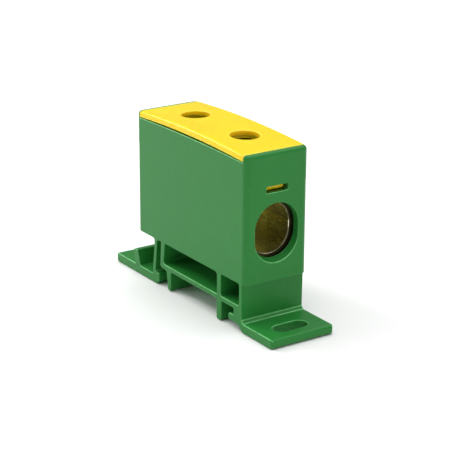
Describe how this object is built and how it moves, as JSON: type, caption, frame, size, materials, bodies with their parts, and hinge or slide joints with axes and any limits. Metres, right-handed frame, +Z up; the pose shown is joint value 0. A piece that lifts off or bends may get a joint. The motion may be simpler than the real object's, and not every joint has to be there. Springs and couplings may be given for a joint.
{
  "type": "din rail terminal block",
  "caption": "Feed-through terminal block that clips on a 35 mm DIN rail or screws down by its feet, with a conductor channel through it and a clip-in lid over its clamp screws.",
  "frame": {"origin": "under the middle of the block, level with the soles of its two feet", "axes": "+X along the block, across the rail, towards the end with the fixed hook; +Y along the rail; +Z up, away from the rail"},
  "size_m": [0.073, 0.0184, 0.0458],
  "materials": {
    "green_plastic": "moulded, satin",
    "yellow_plastic": "moulded, satin",
    "tinned_metal": "tin-plated extrusion",
    "screw_steel": "zinc-plated",
    "pad_steel": "zinc-plated"
  },
  "bodies": {
    "block": {"housing": "green_plastic", "terminal_body": "tinned_metal"},
    "latch": {"latch_foot": "green_plastic"},
    "lid": {"lid": "yellow_plastic"},
    "front_pad": {"pressure_pad_front": "pad_steel"},
    "front_screw": {"clamp_screw_front": "screw_steel"},
    "rear_pad": {"pressure_pad_rear": "pad_steel"},
    "rear_screw": {"clamp_screw_rear": "screw_steel"}
  },
  "joints": [
    {"name": "latch_flex", "type": "hinge", "parent": "block", "child": "latch", "pos_m": [-0.0161, 0, 0.0109], "axis": [0, 1, 0], "range_deg": [0, 10], "stiffness_Nm_per_rad": 1.5},
    {"name": "lid_lift", "type": "slide", "parent": "block", "child": "lid", "axis": [0, 0, 1], "range_m": [0, 0.03]},
    {"name": "front_pad_travel", "type": "slide", "parent": "block", "child": "front_pad", "axis": [0, 0, -1], "range_m": [0, 0.008]},
    {"name": "front_screw_turn", "type": "hinge", "parent": "front_pad", "child": "front_screw", "pos_m": [0.01105, 0, 0.0376], "axis": [0, 0, 1], "range_deg": [-1920, 0]},
    {"name": "rear_pad_travel", "type": "slide", "parent": "block", "child": "rear_pad", "axis": [0, 0, -1], "range_m": [0, 0.008]},
    {"name": "rear_screw_turn", "type": "hinge", "parent": "rear_pad", "child": "rear_screw", "pos_m": [-0.01105, 0, 0.0376], "axis": [0, 0, 1], "range_deg": [-1920, 0]}
  ],
  "couplings": [
    {"joint": "front_screw_turn", "follows": "front_pad_travel", "rad_per_m": -4188.8},
    {"joint": "rear_screw_turn", "follows": "rear_pad_travel", "rad_per_m": -4188.8}
  ]
}
